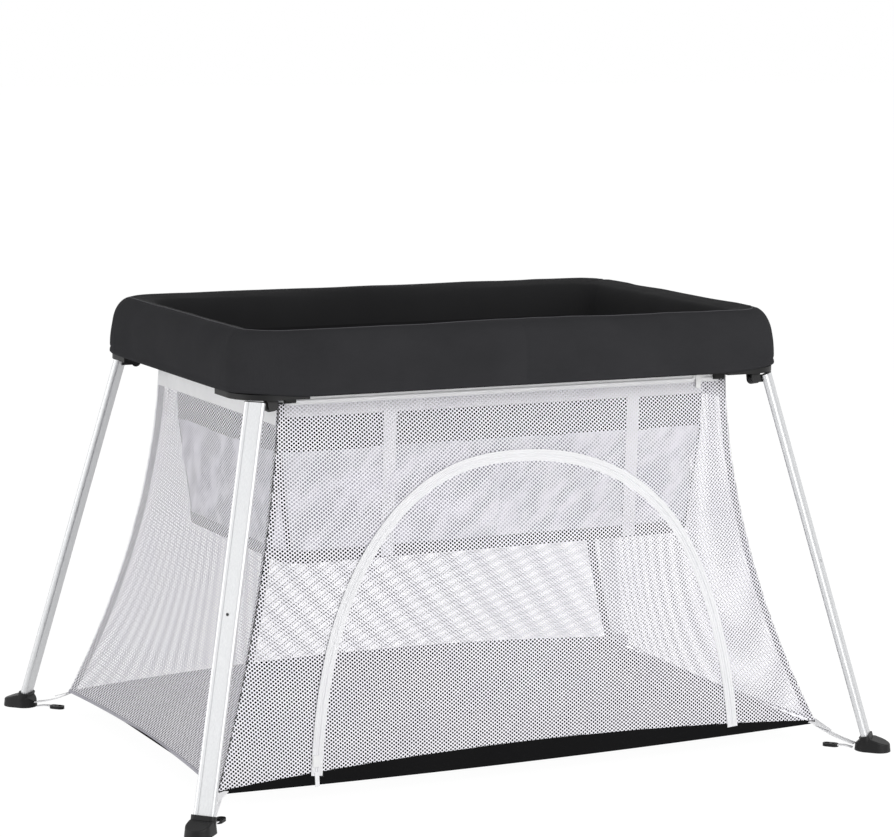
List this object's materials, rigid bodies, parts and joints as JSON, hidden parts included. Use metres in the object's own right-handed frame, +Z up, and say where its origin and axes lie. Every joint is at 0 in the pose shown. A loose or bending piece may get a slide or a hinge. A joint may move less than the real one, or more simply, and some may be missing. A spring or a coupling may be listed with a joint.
{
  "type": "folding travel playpen",
  "caption": "Folding travel playpen: padded oblong rail on splayed aluminium legs, mesh tent with an arched zip door, and a hanging bassinet insert.",
  "frame": {"origin": "on the floor under the middle of the padded rail", "axes": "+X along the length to the right of someone facing the door, +Y from the zip door to the back, +Z up"},
  "size_m": [1.1266, 0.832, 0.657],
  "materials": {
    "black_fabric": "matte",
    "white_mesh": "matte",
    "white_tape": "matte",
    "pale_cloth": "matte",
    "board": "matte",
    "black_plastic": "satin",
    "white_plastic": "gloss",
    "white_aluminium": "satin",
    "steel": "satin"
  },
  "bodies": {
    "left_half": {"rail_tube_left": "white_aluminium", "rail_hinge_left": "steel", "rail_pad_left": "black_fabric", "leg_pins_left": "steel", "tent_front_left": "white_mesh", "tent_back_left": "white_mesh", "tent_end_left": "white_mesh", "tent_floor_left": "black_fabric", "mattress_left": "black_fabric", "top_tape_left": "white_tape", "tent_clips_left": "black_plastic", "corner_ties_left": "white_tape", "tie_hooks_left": "black_plastic", "corner_bracket_front_left": "black_plastic", "corner_bracket_back_left": "black_plastic", "rail_fold_pins": "steel"},
    "right_half": {"rail_tube_right": "white_aluminium", "rail_hinge_right": "steel", "rail_pad_right": "black_fabric", "leg_pins_right": "steel", "tent_front_right": "white_mesh", "tent_back_right": "white_mesh", "tent_end_right": "white_mesh", "tent_floor_right": "black_fabric", "mattress_right": "black_fabric", "top_tape_right": "white_tape", "tent_clips_right": "black_plastic", "corner_ties_right": "white_tape", "tie_hooks_right": "black_plastic", "corner_bracket_front_right": "black_plastic", "corner_bracket_back_right": "black_plastic"},
    "leg_front_left": {"leg_head_front_left": "black_plastic", "leg_tube_front_left": "white_aluminium", "foot_front_left": "black_plastic"},
    "leg_front_right": {"leg_head_front_right": "black_plastic", "leg_tube_front_right": "white_aluminium", "foot_front_right": "black_plastic"},
    "leg_back_left": {"leg_head_back_left": "black_plastic", "leg_tube_back_left": "white_aluminium", "foot_back_left": "black_plastic"},
    "leg_back_right": {"leg_head_back_right": "black_plastic", "leg_tube_back_right": "white_aluminium", "foot_back_right": "black_plastic"},
    "door_left": {"door_panel_left": "white_mesh", "door_tape_left": "white_tape", "door_zip_slider": "white_plastic"},
    "door_right": {"door_panel_right": "white_mesh", "door_tape_right": "white_tape"},
    "bassinet_left": {"bassinet_skirt_left": "black_fabric", "bassinet_wall_left": "pale_cloth", "bassinet_board_left": "board", "bassinet_bands_left": "white_tape"},
    "bassinet_right": {"bassinet_skirt_right": "black_fabric", "bassinet_wall_right": "pale_cloth", "bassinet_board_right": "board", "bassinet_bands_right": "white_tape"},
    "top_zip": {"top_zip_slider": "white_plastic", "top_zip_pull": "white_plastic"}
  },
  "joints": [
    {"name": "rail_fold", "type": "hinge", "parent": "left_half", "child": "right_half", "pos_m": [0, 0, 0.648], "axis": [0, -1, 0], "range_deg": [0, 170], "deforming": ["rail_pad_left", "tent_front_left", "tent_back_left", "tent_end_left", "tent_floor_left", "mattress_left", "top_tape_left", "corner_ties_left", "door_panel_left", "door_tape_left", "bassinet_skirt_left", "bassinet_wall_left", "bassinet_board_left", "bassinet_bands_left", "tie_hooks_left", "tent_clips_left", "rail_pad_right", "tent_front_right", "tent_back_right", "tent_end_right", "tent_floor_right", "mattress_right", "top_tape_right", "corner_ties_right", "door_panel_right", "door_tape_right", "bassinet_skirt_right", "bassinet_wall_right", "bassinet_board_right", "bassinet_bands_right", "tie_hooks_right", "tent_clips_right", "top_zip_slider", "top_zip_pull", "door_zip_slider"]},
    {"name": "leg_fold_front_left", "type": "hinge", "parent": "left_half", "child": "leg_front_left", "pos_m": [-0.38764, -0.27254, 0.555], "axis": [0.0088, -0.9793, 0.2023], "range_deg": [0, 99.85]},
    {"name": "leg_fold_front_right", "type": "hinge", "parent": "right_half", "child": "leg_front_right", "pos_m": [0.38764, -0.27254, 0.555], "axis": [0.0088, 0.9793, -0.2023], "range_deg": [0, 99.85]},
    {"name": "leg_fold_back_left", "type": "hinge", "parent": "left_half", "child": "leg_back_left", "pos_m": [-0.38764, 0.27254, 0.555], "axis": [-0.0088, -0.9793, -0.2023], "range_deg": [0, 99.85]},
    {"name": "leg_fold_back_right", "type": "hinge", "parent": "right_half", "child": "leg_back_right", "pos_m": [0.38764, 0.27254, 0.555], "axis": [-0.0088, 0.9793, 0.2023], "range_deg": [0, 99.85]},
    {"name": "door_open", "type": "hinge", "parent": "left_half", "child": "door_left", "pos_m": [0, -0.31594, 0.04389], "axis": [1, 0, 0], "range_deg": [0, 101]},
    {"name": "door_open_right", "type": "hinge", "parent": "right_half", "child": "door_right", "pos_m": [0, -0.31594, 0.04389], "axis": [1, 0, 0], "range_deg": [0, 101]},
    {"name": "bassinet_lift", "type": "slide", "parent": "left_half", "child": "bassinet_left", "axis": [0, 0, 1], "range_m": [0, 0.35]},
    {"name": "bassinet_lift_right", "type": "slide", "parent": "right_half", "child": "bassinet_right", "axis": [0, 0, 1], "range_m": [0, 0.35]},
    {"name": "top_zip_slide", "type": "slide", "parent": "right_half", "child": "top_zip", "axis": [-1, 0, 0], "range_m": [0, 0.28]}
  ],
  "couplings": [
    {"joint": "leg_fold_front_left", "follows": "rail_fold", "ratio": 0.58733},
    {"joint": "leg_fold_front_right", "follows": "rail_fold", "ratio": 0.58733},
    {"joint": "leg_fold_back_left", "follows": "rail_fold", "ratio": 0.58733},
    {"joint": "leg_fold_back_right", "follows": "rail_fold", "ratio": 0.58733},
    {"joint": "door_open_right", "follows": "door_open", "ratio": 1},
    {"joint": "bassinet_lift_right", "follows": "bassinet_lift", "ratio": 1}
  ]
}
